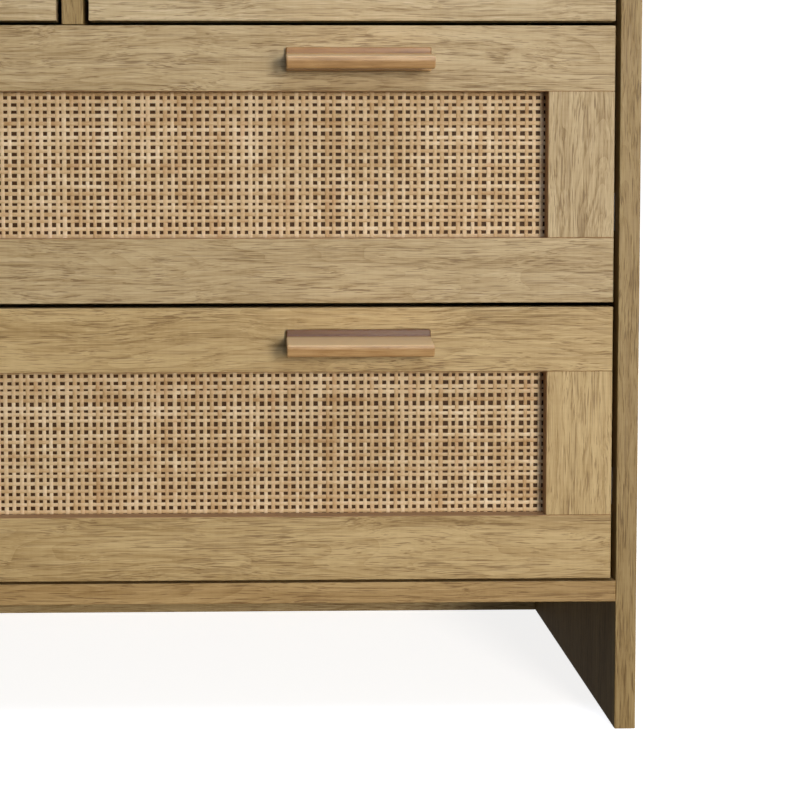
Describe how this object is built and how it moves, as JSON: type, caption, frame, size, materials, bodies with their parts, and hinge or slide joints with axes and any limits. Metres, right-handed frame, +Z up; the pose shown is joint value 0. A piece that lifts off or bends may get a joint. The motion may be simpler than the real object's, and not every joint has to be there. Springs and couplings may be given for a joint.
{
  "type": "chest of drawers",
  "caption": "Free-standing chest of drawers with woven cane drawer fronts in oak-look frames, wooden pulls and drawers on ball-bearing runners.",
  "frame": {"origin": "on the floor, in the middle of the box around the closed dresser, handles included", "axes": "+X to the right as seen from the front, +Y towards the back panel, +Z up; the drawers open towards -Y"},
  "size_m": [0.8, 0.436, 0.72],
  "materials": {
    "oak_laminate": "satin oak-grain foil on particleboard",
    "hardboard": "brown hardboard, smooth face",
    "drawer_board": "foil-faced board, matte",
    "woven_cane": "natural woven cane, satin",
    "rubberwood": "clear-lacquered solid wood",
    "beech_dowel": "raw beech",
    "zinc_plated_steel": "bright zinc plate",
    "fastener_steel": "zinc-plated steel",
    "cast_zinc": "die-cast zinc"
  },
  "bodies": {
    "carcass": {"side_panel_left": "oak_laminate", "side_panel_right": "oak_laminate", "top_panel": "oak_laminate", "bottom_panel": "oak_laminate", "back_panel": "hardboard", "rear_kick_rail": "oak_laminate", "front_rail": "oak_laminate", "rear_rail": "oak_laminate", "divider": "oak_laminate", "cabinet_runners": "zinc_plated_steel", "runner_screws": "fastener_steel", "cam_locks": "cast_zinc", "cam_bolts": "fastener_steel", "wood_dowels": "beech_dowel", "back_panel_nails": "fastener_steel"},
    "bottom_drawer": {"bottom_front_rails": "oak_laminate", "bottom_front_stiles": "oak_laminate", "bottom_cane_panel": "woven_cane", "bottom_backing_board": "hardboard", "bottom_box_sides": "drawer_board", "bottom_box_back": "drawer_board", "bottom_box_bottom": "hardboard", "bottom_handles": "rubberwood", "bottom_handle_screws": "fastener_steel", "bottom_drawer_runners": "zinc_plated_steel"},
    "bottom_ball_cages": {"bottom_ball_cages": "fastener_steel"},
    "middle_drawer": {"middle_front_rails": "oak_laminate", "middle_front_stiles": "oak_laminate", "middle_cane_panel": "woven_cane", "middle_backing_board": "hardboard", "middle_box_sides": "drawer_board", "middle_box_back": "drawer_board", "middle_box_bottom": "hardboard", "middle_handles": "rubberwood", "middle_handle_screws": "fastener_steel", "middle_drawer_runners": "zinc_plated_steel"},
    "middle_ball_cages": {"middle_ball_cages": "fastener_steel"},
    "top_left_drawer": {"top_left_front_rails": "oak_laminate", "top_left_front_stiles": "oak_laminate", "top_left_cane_panel": "woven_cane", "top_left_backing_board": "hardboard", "top_left_box_sides": "drawer_board", "top_left_box_back": "drawer_board", "top_left_box_bottom": "hardboard", "top_left_handles": "rubberwood", "top_left_handle_screws": "fastener_steel", "top_left_drawer_runners": "zinc_plated_steel"},
    "top_left_ball_cages": {"top_left_ball_cages": "fastener_steel"},
    "top_right_drawer": {"top_right_front_rails": "oak_laminate", "top_right_front_stiles": "oak_laminate", "top_right_cane_panel": "woven_cane", "top_right_backing_board": "hardboard", "top_right_box_sides": "drawer_board", "top_right_box_back": "drawer_board", "top_right_box_bottom": "hardboard", "top_right_handles": "rubberwood", "top_right_handle_screws": "fastener_steel", "top_right_drawer_runners": "zinc_plated_steel"},
    "top_right_ball_cages": {"top_right_ball_cages": "fastener_steel"}
  },
  "joints": [
    {"name": "bottom_drawer_slide", "type": "slide", "parent": "carcass", "child": "bottom_drawer", "axis": [0, -1, 0], "range_m": [0, 0.25]},
    {"name": "bottom_cage_roll", "type": "slide", "parent": "carcass", "child": "bottom_ball_cages", "axis": [0, -1, 0], "range_m": [0, 0.125]},
    {"name": "middle_drawer_slide", "type": "slide", "parent": "carcass", "child": "middle_drawer", "axis": [0, -1, 0], "range_m": [0, 0.25]},
    {"name": "middle_cage_roll", "type": "slide", "parent": "carcass", "child": "middle_ball_cages", "axis": [0, -1, 0], "range_m": [0, 0.125]},
    {"name": "top_left_drawer_slide", "type": "slide", "parent": "carcass", "child": "top_left_drawer", "axis": [0, -1, 0], "range_m": [0, 0.25]},
    {"name": "top_left_cage_roll", "type": "slide", "parent": "carcass", "child": "top_left_ball_cages", "axis": [0, -1, 0], "range_m": [0, 0.125]},
    {"name": "top_right_drawer_slide", "type": "slide", "parent": "carcass", "child": "top_right_drawer", "axis": [0, -1, 0], "range_m": [0, 0.25]},
    {"name": "top_right_cage_roll", "type": "slide", "parent": "carcass", "child": "top_right_ball_cages", "axis": [0, -1, 0], "range_m": [0, 0.125]}
  ],
  "couplings": [
    {"joint": "bottom_cage_roll", "follows": "bottom_drawer_slide", "ratio": 0.5},
    {"joint": "middle_cage_roll", "follows": "middle_drawer_slide", "ratio": 0.5},
    {"joint": "top_left_cage_roll", "follows": "top_left_drawer_slide", "ratio": 0.5},
    {"joint": "top_right_cage_roll", "follows": "top_right_drawer_slide", "ratio": 0.5}
  ]
}
